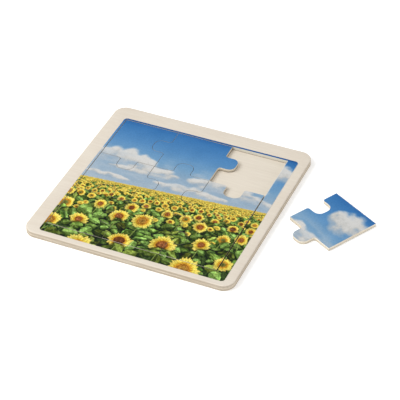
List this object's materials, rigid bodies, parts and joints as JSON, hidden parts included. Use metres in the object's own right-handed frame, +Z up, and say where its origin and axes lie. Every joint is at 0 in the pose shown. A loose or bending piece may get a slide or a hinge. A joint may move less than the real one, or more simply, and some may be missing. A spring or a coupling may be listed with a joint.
{
  "type": "framed jigsaw puzzle",
  "caption": "Square wooden tray whose raised frame holds a knobbed jigsaw of a printed sunflower field; one corner piece lies loose beside it.",
  "frame": {"origin": "middle of the tray's underside, on the surface that it lies on", "axes": "+Z up out of the picture, +X to the picture's right, +Y to the picture's top edge"},
  "size_m": [0.2129, 0.15, 0.0052],
  "materials": {
    "base_plywood": "pale sanded plywood, unvarnished",
    "frame_plywood": "pale sanded plywood, unvarnished, soft edges",
    "piece_plywood": "pale plywood with browned cut edges",
    "picture_print": "satin printed paper glued to the board"
  },
  "bodies": {
    "tray": {"base_board": "base_plywood", "frame": "frame_plywood", "frame_print": "picture_print"},
    "back_left_piece": {"piece_back_left": "piece_plywood", "print_back_left": "picture_print"},
    "back_centre_piece": {"piece_back_centre": "piece_plywood", "print_back_centre": "picture_print"},
    "back_right_piece": {"piece_back_right": "piece_plywood", "print_back_right": "picture_print"},
    "middle_left_piece": {"piece_middle_left": "piece_plywood", "print_middle_left": "picture_print"},
    "middle_centre_piece": {"piece_middle_centre": "piece_plywood", "print_middle_centre": "picture_print"},
    "middle_right_piece": {"piece_middle_right": "piece_plywood", "print_middle_right": "picture_print"},
    "front_left_piece": {"piece_front_left": "piece_plywood", "print_front_left": "picture_print"},
    "front_centre_piece": {"piece_front_centre": "piece_plywood", "print_front_centre": "picture_print"},
    "front_right_piece": {"piece_front_right": "piece_plywood", "print_front_right": "picture_print"}
  },
  "joints": [
    {"name": "lift_back_left", "type": "slide", "parent": "tray", "child": "back_left_piece", "axis": [0, 0, 1], "range_m": [0, 0.02]},
    {"name": "lift_back_centre", "type": "slide", "parent": "tray", "child": "back_centre_piece", "axis": [0, 0, 1], "range_m": [0, 0.02]},
    {"name": "lift_back_right", "type": "slide", "parent": "tray", "child": "back_right_piece", "axis": [0, 0, 1], "range_m": [0, 0.02]},
    {"name": "lift_middle_left", "type": "slide", "parent": "tray", "child": "middle_left_piece", "axis": [0, 0, 1], "range_m": [0, 0.02]},
    {"name": "lift_middle_centre", "type": "slide", "parent": "tray", "child": "middle_centre_piece", "axis": [0, 0, 1], "range_m": [0, 0.02]},
    {"name": "lift_middle_right", "type": "slide", "parent": "tray", "child": "middle_right_piece", "axis": [0, 0, 1], "range_m": [0, 0.02]},
    {"name": "lift_front_left", "type": "slide", "parent": "tray", "child": "front_left_piece", "axis": [0, 0, 1], "range_m": [0, 0.02]},
    {"name": "lift_front_centre", "type": "slide", "parent": "tray", "child": "front_centre_piece", "axis": [0, 0, 1], "range_m": [0, 0.02]},
    {"name": "lift_front_right", "type": "slide", "parent": "tray", "child": "front_right_piece", "axis": [0, 0, 1], "range_m": [0, 0.02]}
  ]
}
